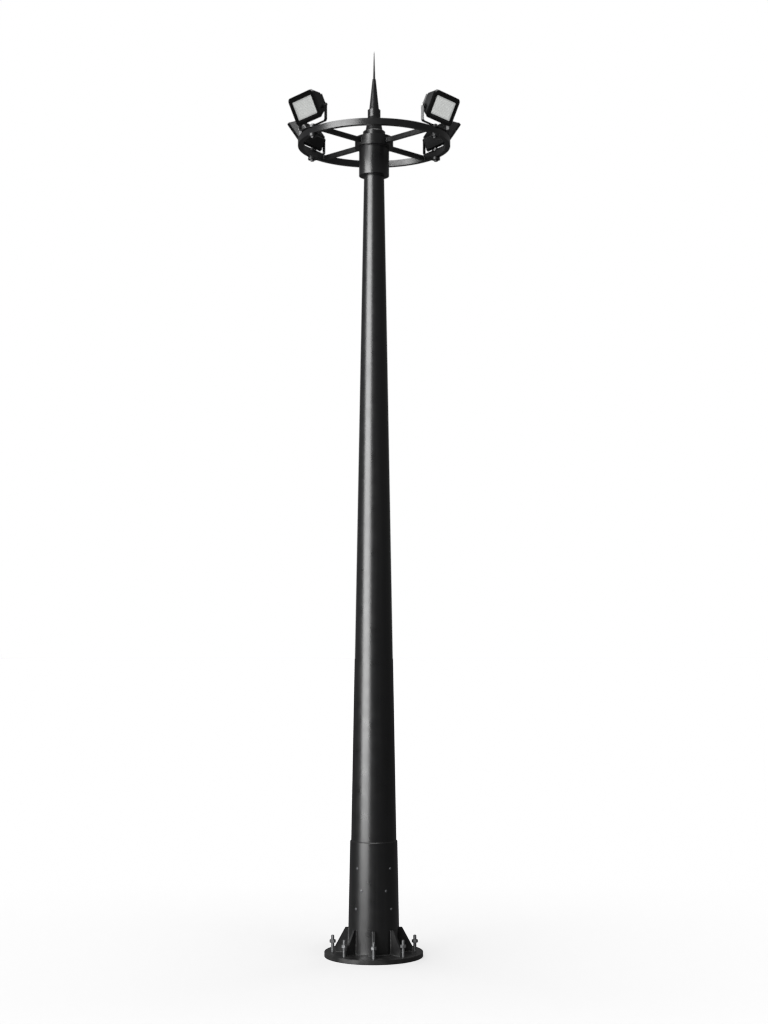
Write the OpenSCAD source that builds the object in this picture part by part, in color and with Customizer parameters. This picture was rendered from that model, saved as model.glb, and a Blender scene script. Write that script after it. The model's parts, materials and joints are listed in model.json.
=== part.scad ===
// High mast floodlight tower.
// A tapered steel mast stands on a round anchor flange with welded gussets.
// Its head carries a ring on four arms, with four floodlights in tilting yokes,
// and a pointed air terminal on top.
// Millimetres. The origin is the centre of the flange's underside and +Z is up.
// The front is -Y.

/* [Base flange and anchors] */
// Diameter of the base flange
flange_d = 1770; // [1600:10:2200]
// Thickness of the base flange
flange_t = 75; // [40:5:120]
// Number of anchor studs, and of the gussets in line with them
anchor_count = 8; // [6:2:12]
// Distance from the middle of a stud to the flange's edge
anchor_edge = 145; // [110:5:160]
// Diameter of an anchor stud
stud_d = 48; // [30:2:60]
// Height of a stud above the flange
stud_rise = 290; // [150:10:400]
// Length of bare stud above its nut
stud_tail = 82; // [40:2:120]
// Distance across the corners of an anchor nut
nut_d = 104; // [80:2:130]
// Height of an anchor nut
nut_h = 46; // [24:2:60]

/* [Gussets] */
// Gap between a gusset's outer end and the stud in line with it
gusset_stud_gap = 26; // [10:2:60]
// Height of a gusset above the flange
gusset_h = 430; // [300:10:600]
// Thickness of a gusset plate
gusset_t = 42; // [20:2:60]
// Height of a gusset's short upright outer edge
gusset_toe_h = 100; // [40:5:160]
// Width of the flat top of a gusset
gusset_top_w = 55; // [30:5:90]

/* [Base sleeve] */
// Height of the top of the sleeve above the ground
sleeve_top = 2050; // [1200:50:3000]
// Wall of the sleeve at the flange
sleeve_foot_wall = 22; // [14:1:40]
// Wall of the sleeve at its top
sleeve_top_wall = 18; // [12:1:30]
// Diameter of a round bolt head on the sleeve
sleeve_bolt_d = 40; // [24:2:60]
// How far a bolt head stands proud of the sleeve
sleeve_bolt_proud = 14; // [8:1:24]

/* [Mast shaft] */
// Outer diameter of the shaft at the flange
shaft_foot_d = 880; // [800:5:950]
// Outer diameter of the shaft at its top
shaft_top_d = 350; // [300:5:400]
// Height of the top of the shaft above the ground
shaft_top = 14977; // [10000:1:16000]
// Wall of the shaft
shaft_wall = 10; // [6:1:16]

/* [Mast head] */
// Outer diameter of the collar below the hub
collar_d = 560; // [500:10:680]
// Height of the collar
collar_h = 529; // [300:10:900]
// Outer diameter of the hub drum
drum_d = 714; // [640:2:900]
// Height of the hub drum
drum_h = 171; // [120:1:300]
// Plate thickness of the collar, the drum and the drum's cover
head_plate = 12; // [8:1:20]
// Diameter of the cap on the hub
cap_d = 416; // [380:2:500]
// Height of the cap
cap_h = 134; // [60:2:200]
// Chamfer on the cap's upper edge
cap_chamfer = 14; // [4:1:30]

/* [Air terminal] */
// Diameter of the socket where it leaves the cap
socket_foot_d = 322; // [260:2:360]
// Diameter of the socket's upper part
socket_top_d = 239; // [200:1:250]
// Height of the socket's flared part
socket_flare_h = 270; // [150:10:400]
// Height of the socket's straight part
socket_neck_h = 136; // [60:2:240]
// Diameter of the spire at its foot
spire_foot_d = 186; // [120:2:196]
// Diameter of the spire where the rod starts
spire_top_d = 64; // [50:1:90]
// Height of the spire
spire_h = 590; // [300:10:900]
// Diameter of the rod
rod_d = 44; // [30:1:48]
// Diameter of the rod just below its point
rod_top_d = 14; // [8:1:24]
// Height of the rod with its point
rod_h = 538; // [300:10:800]
// Length of the rod's point
rod_point_h = 49; // [10:1:120]

/* [Ring and arms] */
// Outer diameter of the ring
ring_d = 2840; // [2600:20:3200]
// Width of the ring's bar, measured outwards
ring_bar_w = 90; // [70:5:130]
// Height of the ring's bar
ring_bar_h = 115; // [90:5:160]
// How far the ring's middle lies below the drum's middle
ring_drop = 2; // [0:1:20]
// Width of an arm
arm_w = 65; // [40:5:90]
// Height of an arm
arm_h = 85; // [50:5:110]
// Angle of the front arms from the left and right
arm_angle = 45; // [35:1:55]

/* [Floodlight places] */
// Angle of the front floodlights from the left and right
front_lamp_angle = 36; // [25:1:50]
// Angle of the rear floodlights from the left and right
rear_lamp_angle = 31; // [25:1:50]
// Downward tilt of the front floodlights at rest
front_lamp_tilt = 26; // [0:1:60]
// Downward tilt of the rear floodlights at rest
rear_lamp_tilt = 36; // [0:1:60]

/* [Floodlight head] */
// Width of the front frame
bezel_w = 780; // [700:5:850]
// Height of the front frame
bezel_h = 520; // [400:5:580]
// Depth of the front frame
bezel_depth = 44; // [36:2:60]
// Corner radius of the front frame
bezel_r = 80; // [30:2:90]
// Width of the frame around the glass
bezel_rim = 85; // [50:1:110]
// Width of the frame's bevel around the glass
bezel_bevel = 34; // [10:2:44]
// Corner radius of the glass
glass_r = 24; // [10:1:40]
// Thickness of the glass
glass_t = 8; // [5:1:12]
// How far the glass lies behind the frame's face
glass_recess = 14; // [6:1:24]
// Distance from the tilt axis forward to the frame's face
face_reach = 170; // [150:5:230]
// How far the middle of the head lies above the tilt axis
head_rise = 85; // [0:5:100]
// How far the frame stands out past the housing's sides
housing_side_step = 20; // [14:2:50]
// How far the frame stands out past the housing's top and bottom
housing_top_step = 14; // [10:1:40]
// How far each side of the housing comes in towards its back
housing_side_taper = 50; // [20:2:80]
// How far the housing's top and bottom come in towards its back
housing_top_taper = 85; // [30:5:110]
// Distance from the tilt axis back to the housing's back
housing_back_reach = 50; // [20:2:70]
// Number of cooling fins on the back
fin_count = 13; // [7:2:17]
// Thickness of a cooling fin
fin_t = 10; // [6:1:14]
// How far a fin stands out of the back
fin_depth = 34; // [16:2:50]
// Wall of the housing
housing_wall = 6; // [4:1:10]
// Diameter of the tilt bosses on the housing's sides
boss_d = 76; // [60:2:90]

/* [Yoke] */
// Gap between the frame's side and the yoke's arm
yoke_side_gap = 16; // [8:1:30]
// Thickness of the yoke's plate
yoke_t = 12; // [8:1:16]
// Width of the yoke's flat bar
yoke_bar_w = 56; // [50:1:70]
// Gap between the swinging frame's corner and the nut below it
swing_gap = 14; // [8:2:100]
// Radius of the bends in the yoke
yoke_bend_r = 45; // [20:1:60]
// Diameter of the tilt bolt
tilt_bolt_d = 22; // [16:1:28]
// Diameter of the tilt bolt's round head
tilt_head_d = 50; // [40:1:56]
// Thickness of the tilt bolt's head
tilt_head_t = 16; // [10:1:22]

/* [Yoke stand] */
// Diameter of the discs above and below the ring's bar
stand_d = 160; // [100:2:200]
// Thickness of the upper disc
stand_top_h = 30; // [16:2:50]
// Thickness of the lower disc
stand_foot_h = 44; // [20:2:70]
// Diameter of the turning pin
pin_d = 30; // [20:1:36]
// Diameter of the nuts on the turning pin
pin_nut_d = 80; // [50:2:96]
// Height of the nuts on the turning pin
pin_nut_h = 28; // [14:1:34]

/* [Clearances] */
// Gap between fitted pieces of one body
seat_gap = 0.3; // [0.2:0.1:1]
// Gap on each side of a plate or pin that turns
turn_gap = 0.5; // [0.3:0.1:1]
// Gap around a floodlight's pin in the ring's bar
pin_hole_gap = 1; // [0.8:0.1:2]

/* [Hidden] */
$fn = 96;
hex = 6;
hull_fn = 32;
seat_fn = 360;
cut = 1;
steel_dark = "#242628";
steel_galvanised = "#a9adb0";
glass_white = "#e4e8ea";

// Radius of the shaft and of the sleeve at a height, both straight cones
function along(z, z0, z1, v0, v1) = v0 + (v1 - v0) * (z - z0) / (z1 - z0);
function shaft_r(z) = along(z, flange_t, shaft_top, shaft_foot_d, shaft_top_d) / 2;
function sleeve_r(z) = shaft_r(z) + along(z, flange_t, sleeve_top, sleeve_foot_wall, sleeve_top_wall);

anchor_r = flange_d / 2 - anchor_edge;
gusset_reach = anchor_r - stud_d / 2 - gusset_stud_gap;

sleeve_chamfer = 6;
sleeve_bolt_rows = [[875, 45], [1200, 30], [1590, 43]];

drum_top = shaft_top;
drum_foot = drum_top - drum_h;
collar_foot = drum_foot - collar_h;
cap_foot = drum_top + head_plate;
socket_foot = cap_foot + cap_h;
socket_neck_foot = socket_foot + socket_flare_h;
spire_foot = socket_neck_foot + socket_neck_h;
rod_foot = spire_foot + spire_h;

ring_mid = (drum_foot + drum_top) / 2 - ring_drop;
ring_top = ring_mid + ring_bar_h / 2;
ring_foot = ring_mid - ring_bar_h / 2;
ring_inner_r = ring_d / 2 - ring_bar_w;
lamp_r = ring_d / 2 - ring_bar_w / 2;

bezel_back = face_reach - bezel_depth;
glass_w = bezel_w - 2 * bezel_rim;
glass_h = bezel_h - 2 * bezel_rim;
housing_front_w = bezel_w - 2 * housing_side_step;
housing_front_h = bezel_h - 2 * housing_top_step;
housing_back_w = housing_front_w - 2 * housing_side_taper;
housing_back_h = housing_front_h - 2 * housing_top_taper;

// The yoke's arms clear the frame, and its foot clears the frame's lower corner
yoke_inner_w = bezel_w + 2 * yoke_side_gap;
yoke_arm_y = yoke_inner_w / 2;
frame_swing_r = norm([face_reach, bezel_h / 2 - head_rise]);
yoke_rise = yoke_t + turn_gap + pin_nut_h + swing_gap + frame_swing_r;
yoke_foot = ring_top + stand_top_h + turn_gap;
tilt_axis_z = yoke_foot + yoke_rise;
fin_pitch = (housing_back_w - 2 * fin_t) / (fin_count - 1);

// Compass angle of each corner, anticlockwise from +X
arm_front_left_a = 180 + arm_angle;
arm_front_right_a = -arm_angle;
arm_rear_left_a = 180 - arm_angle;
arm_rear_right_a = arm_angle;
lamp_front_left_a = 180 + front_lamp_angle;
lamp_front_right_a = -front_lamp_angle;
lamp_rear_left_a = 180 - rear_lamp_angle;
lamp_rear_right_a = rear_lamp_angle;

// ---- Helpers ----

// Places its children at each anchor, with +X pointing outwards
module at_anchors() {
    for (i = [0 : anchor_count - 1])
        rotate([0, 0, -90 + i * 360 / anchor_count]) children();
}

// A flat rectangle with round corners, centred
module rounded_rect(w, h, r) {
    square([w - 2 * r, h], center = true);
    square([w, h - 2 * r], center = true);
    for (x = [-1, 1], y = [-1, 1])
        translate([x * (w / 2 - r), y * (h / 2 - r)]) circle(r);
}

// A rounded plate facing +X, as wide along Y and as high along Z
module facing_plate(x, depth, w, h, r) {
    translate([x, 0, 0]) rotate([90, 0, 90]) linear_extrude(depth) rounded_rect(w, h, r);
}

// Places a floodlight's children on the ring, with +X pointing outwards
module at_lamp(angle) {
    rotate([0, 0, angle]) translate([lamp_r, 0, 0]) children();
}

// Places its children on a floodlight's tilt axis, tilted down as at rest
module at_tilt_axis(angle) {
    tilt = sin(angle) < 0 ? front_lamp_tilt : rear_lamp_tilt;
    at_lamp(angle) translate([0, 0, tilt_axis_z]) rotate([0, tilt, 0]) children();
}

// Places its children round the middle of a floodlight's head
module at_head(angle) {
    at_tilt_axis(angle) translate([0, 0, head_rise]) children();
}

// ---- Base ----

module base_flange() {
    color(steel_dark) difference() {
        cylinder(h = flange_t, d = flange_d);
        at_anchors() translate([anchor_r, 0, -cut])
            cylinder(h = flange_t + 2 * cut, d = stud_d + 2 * seat_gap);
    }
}

module base_sleeve() {
    color(steel_dark) rotate_extrude() polygon([
        [shaft_r(flange_t) + seat_gap, flange_t],
        [sleeve_r(flange_t), flange_t],
        [sleeve_r(sleeve_top - sleeve_chamfer), sleeve_top - sleeve_chamfer],
        [sleeve_r(sleeve_top) - sleeve_chamfer, sleeve_top],
        [shaft_r(sleeve_top) + seat_gap, sleeve_top]
    ]);
}

module gusset() {
    top = flange_t + gusset_h;
    translate([0, gusset_t / 2, 0]) rotate([90, 0, 0]) linear_extrude(gusset_t) polygon([
        [sleeve_r(top) - gusset_t, flange_t],
        [gusset_reach, flange_t],
        [gusset_reach, flange_t + gusset_toe_h],
        [sleeve_r(top) + gusset_top_w, top],
        [sleeve_r(top) - gusset_t, top]
    ]);
}

module gussets() {
    color(steel_dark) difference() {
        at_anchors() gusset();
        translate([0, 0, flange_t])
            cylinder(
                h = sleeve_top - flange_t,
                r1 = sleeve_r(flange_t) + seat_gap,
                r2 = sleeve_r(sleeve_top) + seat_gap,
                $fn = seat_fn
            );
    }
}

module anchor_studs() {
    chamfer = stud_d / 8;
    color(steel_galvanised) at_anchors() translate([anchor_r, 0, 0]) {
        cylinder(h = flange_t + stud_rise - chamfer, d = stud_d);
        translate([0, 0, flange_t + stud_rise - chamfer])
            cylinder(h = chamfer, d1 = stud_d, d2 = stud_d - 2 * chamfer);
    }
}

module anchor_nuts() {
    nut_foot = flange_t + stud_rise - stud_tail - nut_h;
    color(steel_galvanised) at_anchors() translate([anchor_r, 0, nut_foot]) difference() {
        cylinder(h = nut_h, d = nut_d, $fn = hex);
        translate([0, 0, -cut]) cylinder(h = nut_h + 2 * cut, d = stud_d + 2 * seat_gap);
    }
}

// Round bolt heads in rows of four, each row at its own height and angle.
// A head's flat back just clears the sleeve at the head's lower edge.
module sleeve_bolts() {
    color(steel_dark)
        for (row = sleeve_bolt_rows, side = [-1, 1], face = [-90, 90]) {
            seat_r = sleeve_r(row[0] - sleeve_bolt_d / 2) + seat_gap;
            rotate([0, 0, face + side * row[1]]) translate([seat_r, 0, row[0]]) rotate([0, 90, 0])
                cylinder(h = sleeve_bolt_proud, d = sleeve_bolt_d);
        }
}

// ---- Mast ----

module mast_shaft() {
    color(steel_dark) rotate_extrude() polygon([
        [shaft_r(flange_t) - shaft_wall, flange_t],
        [shaft_r(flange_t), flange_t],
        [shaft_r(shaft_top), shaft_top],
        [shaft_r(shaft_top) - shaft_wall, shaft_top]
    ]);
}

// A tube around the shaft with a plate that closes it below
module head_collar() {
    color(steel_dark) rotate_extrude() polygon([
        [shaft_r(collar_foot) + seat_gap, collar_foot],
        [collar_d / 2, collar_foot],
        [collar_d / 2, drum_foot],
        [collar_d / 2 - head_plate, drum_foot],
        [collar_d / 2 - head_plate, collar_foot + head_plate],
        [shaft_r(collar_foot) + seat_gap, collar_foot + head_plate]
    ]);
}

// A round cup around the shaft, open above
module hub_drum() {
    color(steel_dark) rotate_extrude() polygon([
        [shaft_r(drum_foot) + seat_gap, drum_foot],
        [drum_d / 2, drum_foot],
        [drum_d / 2, drum_top],
        [drum_d / 2 - head_plate, drum_top],
        [drum_d / 2 - head_plate, drum_foot + head_plate],
        [shaft_r(drum_foot) + seat_gap, drum_foot + head_plate]
    ]);
}

module drum_cover() {
    color(steel_dark) translate([0, 0, drum_top]) cylinder(h = head_plate, d = drum_d);
}

module head_cap() {
    color(steel_dark) translate([0, 0, cap_foot]) {
        cylinder(h = cap_h - cap_chamfer, d = cap_d);
        translate([0, 0, cap_h - cap_chamfer])
            cylinder(h = cap_chamfer, d1 = cap_d, d2 = cap_d - 2 * cap_chamfer);
    }
}

// ---- Air terminal ----

module spire_socket() {
    color(steel_dark) {
        translate([0, 0, socket_foot])
            cylinder(h = socket_flare_h, d1 = socket_foot_d, d2 = socket_top_d);
        translate([0, 0, socket_neck_foot]) cylinder(h = socket_neck_h, d = socket_top_d);
    }
}

module spire() {
    color(steel_dark) translate([0, 0, spire_foot])
        cylinder(h = spire_h, d1 = spire_foot_d, d2 = spire_top_d);
}

module lightning_rod() {
    color(steel_dark) translate([0, 0, rod_foot]) {
        cylinder(h = rod_h - rod_point_h, d1 = rod_d, d2 = rod_top_d);
        translate([0, 0, rod_h - rod_point_h])
            cylinder(h = rod_point_h, d1 = rod_top_d, d2 = 0);
    }
}

// ---- Ring ----

module carrier_ring() {
    color(steel_dark) difference() {
        translate([0, 0, ring_foot]) cylinder(h = ring_bar_h, d = ring_d);
        translate([0, 0, ring_foot - cut]) cylinder(h = ring_bar_h + 2 * cut, r = ring_inner_r);
        for (a = [lamp_front_left_a, lamp_front_right_a, lamp_rear_left_a, lamp_rear_right_a])
            at_lamp(a) translate([0, 0, ring_foot - cut])
                cylinder(h = ring_bar_h + 2 * cut, d = pin_d + 2 * pin_hole_gap);
    }
}

// A bar from the drum to the ring, cut to the round of both
module ring_arm(angle) {
    color(steel_dark) intersection() {
        rotate([0, 0, angle]) translate([0, -arm_w / 2, ring_mid - arm_h / 2])
            cube([ring_d / 2, arm_w, arm_h]);
        difference() {
            translate([0, 0, ring_foot])
                cylinder(h = ring_bar_h, r = ring_inner_r - seat_gap, $fn = seat_fn);
            translate([0, 0, ring_foot - cut])
                cylinder(h = ring_bar_h + 2 * cut, d = drum_d + 2 * seat_gap, $fn = seat_fn);
        }
    }
}

// ---- Floodlights ----

// Discs that just clear the ring's bar above and below, with the pin that the yoke turns on
module lamp_stand(angle) {
    nut_foot = yoke_foot + yoke_t + turn_gap;
    color(steel_dark) at_lamp(angle) {
        translate([0, 0, ring_top + seat_gap])
            cylinder(h = stand_top_h - seat_gap, d = stand_d);
        translate([0, 0, ring_foot - stand_foot_h])
            cylinder(h = stand_foot_h - seat_gap, d = stand_d);
        translate([0, 0, ring_foot - stand_foot_h - pin_nut_h])
            cylinder(h = pin_nut_h, d = pin_nut_d, $fn = hex);
        translate([0, 0, ring_foot - stand_foot_h])
            cylinder(h = nut_foot + pin_nut_h - ring_foot + stand_foot_h, d = pin_d);
        translate([0, 0, nut_foot]) cylinder(h = pin_nut_h, d = pin_nut_d, $fn = hex);
    }
}

// Outline of the yoke seen along the floodlight's aim: a wide U with round bends
module yoke_outline() {
    outer_w = yoke_inner_w + 2 * yoke_t;
    difference() {
        translate([-outer_w / 2, 0]) union() {
            translate([0, yoke_bend_r]) square([outer_w, yoke_rise - yoke_bend_r]);
            translate([yoke_bend_r, 0]) square([outer_w - 2 * yoke_bend_r, yoke_bend_r]);
            for (x = [yoke_bend_r, outer_w - yoke_bend_r])
                translate([x, yoke_bend_r]) circle(yoke_bend_r);
        }
        inner_r = yoke_bend_r - yoke_t;
        translate([-yoke_inner_w / 2, yoke_t]) union() {
            translate([0, inner_r]) square([yoke_inner_w, yoke_rise]);
            translate([inner_r, 0]) square([yoke_inner_w - 2 * inner_r, yoke_bend_r]);
            for (x = [inner_r, yoke_inner_w - inner_r])
                translate([x, inner_r]) circle(inner_r);
        }
    }
}

// A bent flat bar with a round eye on each arm and a hole for its pin
module lamp_yoke(angle) {
    color(steel_dark) at_lamp(angle) translate([0, 0, yoke_foot]) difference() {
        union() {
            translate([-yoke_bar_w / 2, 0, 0]) rotate([90, 0, 90])
                linear_extrude(yoke_bar_w) yoke_outline();
            for (y = [-yoke_arm_y - yoke_t, yoke_arm_y])
                translate([0, y, yoke_rise]) rotate([-90, 0, 0]) cylinder(h = yoke_t, d = yoke_bar_w);
        }
        translate([0, 0, -cut]) cylinder(h = yoke_t + 2 * cut, d = pin_d + 2 * turn_gap);
        for (side = [-1, 1])
            translate([0, side * (yoke_arm_y + yoke_t / 2), yoke_rise]) rotate([90, 0, 0])
                cylinder(h = yoke_t + 2 * cut, d = tilt_bolt_d + 2 * turn_gap, center = true);
    }
}

// Tapered shape of a housing, taken in by a wall on every side but the front
module housing_shape(wall) {
    corner_r = bezel_r / 2;
    skin = 4;
    hull() {
        facing_plate(
            bezel_back - skin, skin,
            housing_front_w - 2 * wall, housing_front_h - 2 * wall, corner_r, $fn = hull_fn
        );
        facing_plate(
            -housing_back_reach + wall, skin,
            housing_back_w - 2 * wall, housing_back_h - 2 * wall, corner_r, $fn = hull_fn
        );
    }
}

// Hollow tapered body, open towards the glass, with upright cooling fins on its
// back and a boss on each side
module lamp_housing(angle) {
    back_x = -housing_back_reach;
    fin_h = housing_back_h - bezel_r;
    fin_root = housing_wall / 2;
    boss_foot = housing_back_w / 2 - 3 * housing_wall;
    color(steel_dark) {
        at_head(angle) {
            difference() {
                housing_shape(0);
                housing_shape(housing_wall);
                facing_plate(
                    bezel_back - cut, 2 * cut,
                    housing_front_w - 2 * housing_wall, housing_front_h - 2 * housing_wall, bezel_r / 2
                );
            }
            for (i = [0 : fin_count - 1])
                translate([back_x - fin_depth, (i - (fin_count - 1) / 2) * fin_pitch - fin_t / 2, -fin_h / 2])
                    cube([fin_depth + fin_root, fin_t, fin_h]);
        }
        at_tilt_axis(angle) for (side = [-1, 1])
            rotate([side * -90, 0, 0]) translate([0, 0, boss_foot])
                cylinder(h = yoke_arm_y - turn_gap - boss_foot, d = boss_d);
    }
}

// Space that a bevel takes out of the frame, from the glass's face to the frame's face
module bevel_shape() {
    skin = 1;
    hull() {
        facing_plate(face_reach - glass_recess, skin, glass_w, glass_h, glass_r, $fn = hull_fn);
        facing_plate(
            face_reach, skin,
            glass_w + 2 * bezel_bevel, glass_h + 2 * bezel_bevel, glass_r + bezel_bevel, $fn = hull_fn
        );
    }
}

module lamp_frame(angle) {
    color(steel_dark) at_head(angle) difference() {
        facing_plate(bezel_back, bezel_depth, bezel_w, bezel_h, bezel_r);
        facing_plate(bezel_back - cut, bezel_depth + 2 * cut, glass_w, glass_h, glass_r);
        bevel_shape();
    }
}

module lamp_glass(angle) {
    color(glass_white) at_head(angle)
        facing_plate(
            face_reach - glass_recess - glass_t, glass_t,
            glass_w - 2 * seat_gap, glass_h - 2 * seat_gap, glass_r - seat_gap
        );
}

// Bolts through the yoke's eyes into the housing's bosses, each with a round head
module lamp_tilt_bolts(angle) {
    head_y = yoke_arm_y + yoke_t + turn_gap;
    color(steel_galvanised) at_tilt_axis(angle) for (side = [-1, 1]) rotate([side * -90, 0, 0]) {
        translate([0, 0, yoke_arm_y - turn_gap])
            cylinder(h = head_y - yoke_arm_y + turn_gap, d = tilt_bolt_d);
        translate([0, 0, head_y]) cylinder(h = tilt_head_t, d = tilt_head_d);
    }
}

// ---- Nodes ----

base_flange();
base_sleeve();
gussets();
anchor_studs();
anchor_nuts();
sleeve_bolts();
mast_shaft();
head_collar();
hub_drum();
drum_cover();
head_cap();
spire_socket();
spire();
lightning_rod();
carrier_ring();
ring_arm(arm_front_left_a);  // arm_front_left
ring_arm(arm_front_right_a);  // arm_front_right
ring_arm(arm_rear_left_a);  // arm_rear_left
ring_arm(arm_rear_right_a);  // arm_rear_right
lamp_stand(lamp_front_left_a);  // stand_front_left
lamp_stand(lamp_front_right_a);  // stand_front_right
lamp_stand(lamp_rear_left_a);  // stand_rear_left
lamp_stand(lamp_rear_right_a);  // stand_rear_right
lamp_yoke(lamp_front_left_a);  // yoke_front_left
lamp_yoke(lamp_front_right_a);  // yoke_front_right
lamp_yoke(lamp_rear_left_a);  // yoke_rear_left
lamp_yoke(lamp_rear_right_a);  // yoke_rear_right
lamp_housing(lamp_front_left_a);  // housing_front_left
lamp_housing(lamp_front_right_a);  // housing_front_right
lamp_housing(lamp_rear_left_a);  // housing_rear_left
lamp_housing(lamp_rear_right_a);  // housing_rear_right
lamp_frame(lamp_front_left_a);  // frame_front_left
lamp_frame(lamp_front_right_a);  // frame_front_right
lamp_frame(lamp_rear_left_a);  // frame_rear_left
lamp_frame(lamp_rear_right_a);  // frame_rear_right
lamp_glass(lamp_front_left_a);  // glass_front_left
lamp_glass(lamp_front_right_a);  // glass_front_right
lamp_glass(lamp_rear_left_a);  // glass_rear_left
lamp_glass(lamp_rear_right_a);  // glass_rear_right
lamp_tilt_bolts(lamp_front_left_a);  // tilt_bolts_front_left
lamp_tilt_bolts(lamp_front_right_a);  // tilt_bolts_front_right
lamp_tilt_bolts(lamp_rear_left_a);  // tilt_bolts_rear_left
lamp_tilt_bolts(lamp_rear_right_a);  // tilt_bolts_rear_right
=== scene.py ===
import json
import math

import bmesh
import bpy
from mathutils import Matrix, Vector

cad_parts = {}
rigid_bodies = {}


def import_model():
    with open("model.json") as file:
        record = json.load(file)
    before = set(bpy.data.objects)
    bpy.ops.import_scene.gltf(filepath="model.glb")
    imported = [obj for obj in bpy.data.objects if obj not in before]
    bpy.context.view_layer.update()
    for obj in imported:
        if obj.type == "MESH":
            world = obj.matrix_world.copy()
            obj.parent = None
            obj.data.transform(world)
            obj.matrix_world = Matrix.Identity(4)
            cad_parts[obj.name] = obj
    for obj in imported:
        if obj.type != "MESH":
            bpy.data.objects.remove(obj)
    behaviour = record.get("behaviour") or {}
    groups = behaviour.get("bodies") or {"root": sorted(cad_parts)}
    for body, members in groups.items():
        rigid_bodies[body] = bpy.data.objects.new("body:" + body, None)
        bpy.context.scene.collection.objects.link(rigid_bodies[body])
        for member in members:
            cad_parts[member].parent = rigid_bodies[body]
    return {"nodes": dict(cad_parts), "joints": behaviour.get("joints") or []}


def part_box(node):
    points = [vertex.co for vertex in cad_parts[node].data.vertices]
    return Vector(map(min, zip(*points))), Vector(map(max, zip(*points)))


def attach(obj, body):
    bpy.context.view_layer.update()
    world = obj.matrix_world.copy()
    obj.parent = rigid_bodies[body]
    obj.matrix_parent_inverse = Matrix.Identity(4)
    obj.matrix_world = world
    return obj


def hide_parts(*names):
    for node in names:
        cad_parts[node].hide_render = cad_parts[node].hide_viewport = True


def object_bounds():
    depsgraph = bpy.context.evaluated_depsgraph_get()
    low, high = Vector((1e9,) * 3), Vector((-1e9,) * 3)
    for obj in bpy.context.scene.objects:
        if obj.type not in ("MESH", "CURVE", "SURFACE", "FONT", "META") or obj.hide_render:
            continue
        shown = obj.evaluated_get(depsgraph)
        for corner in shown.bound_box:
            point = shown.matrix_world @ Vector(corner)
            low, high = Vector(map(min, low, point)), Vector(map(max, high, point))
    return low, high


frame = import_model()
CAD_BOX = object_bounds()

bl_info = {
    "name": "High mast floodlight tower",
    "version": (1, 0, 0),
    "blender": (4, 5, 0),
    "location": "3D View > Sidebar > Floodlight tower",
    "description": "Finishes, welds, threads and lamp interiors for a high mast floodlight tower",
    "category": "Object",
}

CORNERS = ("front_left", "front_right", "rear_left", "rear_right")
MM = 0.001
MERGE = 1e-5
SHARP_ANGLE = math.radians(35)
TURN = 2 * math.pi
FLOOR_RADIUS = 400
SENSOR_WIDTH = 36


# ---- Reading the frame ----


def joint(name):
    """The facts of one joint of the frame."""
    return next(j for j in frame["joints"] if j["name"] == name)


def lamp_place(corner):
    """Puts work made round a head's middle, with +X out of the glass, at one floodlight at rest."""
    tilt = joint(f"tilt_{corner}")
    across = Vector(tilt["axis"])
    aim = math.atan2(-across.x, across.y)
    droop = -math.radians(tilt["range_deg"][0])
    turn = Matrix.Rotation(aim, 4, "Z") @ Matrix.Rotation(droop, 4, "Y")
    axle = Matrix.Translation(tilt["pos_m"]) @ turn
    low, high = box_in(axle, f"frame_{corner}")
    return axle @ Matrix.Translation((0, 0, (low.z + high.z) / 2))


def box_in(place, node):
    """Lowest and highest corner of a CAD node, measured in the axes of a place."""
    into = place.inverted()
    points = [into @ v.co for v in frame["nodes"][node].data.vertices]
    low = Vector(min(p[i] for p in points) for i in range(3))
    high = Vector(max(p[i] for p in points) for i in range(3))
    return low, high


def merged_bmesh(node):
    """A bmesh of a CAD node with its loose triangles joined."""
    bm = bmesh.new()
    bm.from_mesh(frame["nodes"][node].data)
    bmesh.ops.remove_doubles(bm, verts=bm.verts, dist=MERGE)
    return bm


def solid_boxes(node):
    """Lowest and highest corner of each separate solid in a CAD node."""
    bm = merged_bmesh(node)
    unseen = set(bm.verts)
    boxes = []
    while unseen:
        reach = [unseen.pop()]
        points = []
        while reach:
            vert = reach.pop()
            points.append(vert.co.copy())
            for edge in vert.link_edges:
                other = edge.other_vert(vert)
                if other in unseen:
                    unseen.remove(other)
                    reach.append(other)
        low = Vector(min(p[i] for p in points) for i in range(3))
        high = Vector(max(p[i] for p in points) for i in range(3))
        boxes.append((low, high))
    bm.free()
    return sorted(boxes, key=lambda b: math.atan2(b[0].y + b[1].y, b[0].x + b[1].x))


def radius_near(node, z, slack=10 * MM):
    """The largest radius round the mast's axis that a CAD node has near a height."""
    verts = frame["nodes"][node].data.vertices
    return max(v.co.xy.length for v in verts if abs(v.co.z - z) < slack)


class Cone:
    """The outer surface of a tapered round node, from its foot to its top."""

    def __init__(self, node):
        low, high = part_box(node)
        self.foot, self.top = low.z, high.z
        self.foot_r = radius_near(node, low.z)
        self.top_r = radius_near(node, high.z)

    def radius(self, z):
        share = (z - self.foot) / (self.top - self.foot)
        return self.foot_r + (self.top_r - self.foot_r) * share


# ---- Making pieces ----


def baked(name, bm):
    """Turns a bmesh into a mesh and frees it."""
    mesh = bpy.data.meshes.new(name)
    bm.to_mesh(mesh)
    bm.free()
    return mesh


def finish_piece(name, bm, body, materials):
    """Makes a bmesh a smooth-shaded piece that rides on a body and takes its finish from a slot."""
    bmesh.ops.recalc_face_normals(bm, faces=bm.faces)
    mesh = baked(name, bm)
    mesh.shade_smooth()
    mesh.set_sharp_from_angle(angle=SHARP_ANGLE)
    for material in materials:
        mesh.materials.append(material)
    piece = bpy.data.objects.new(name, mesh)
    bpy.context.scene.collection.objects.link(piece)
    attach(piece, body)
    return piece


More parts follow.
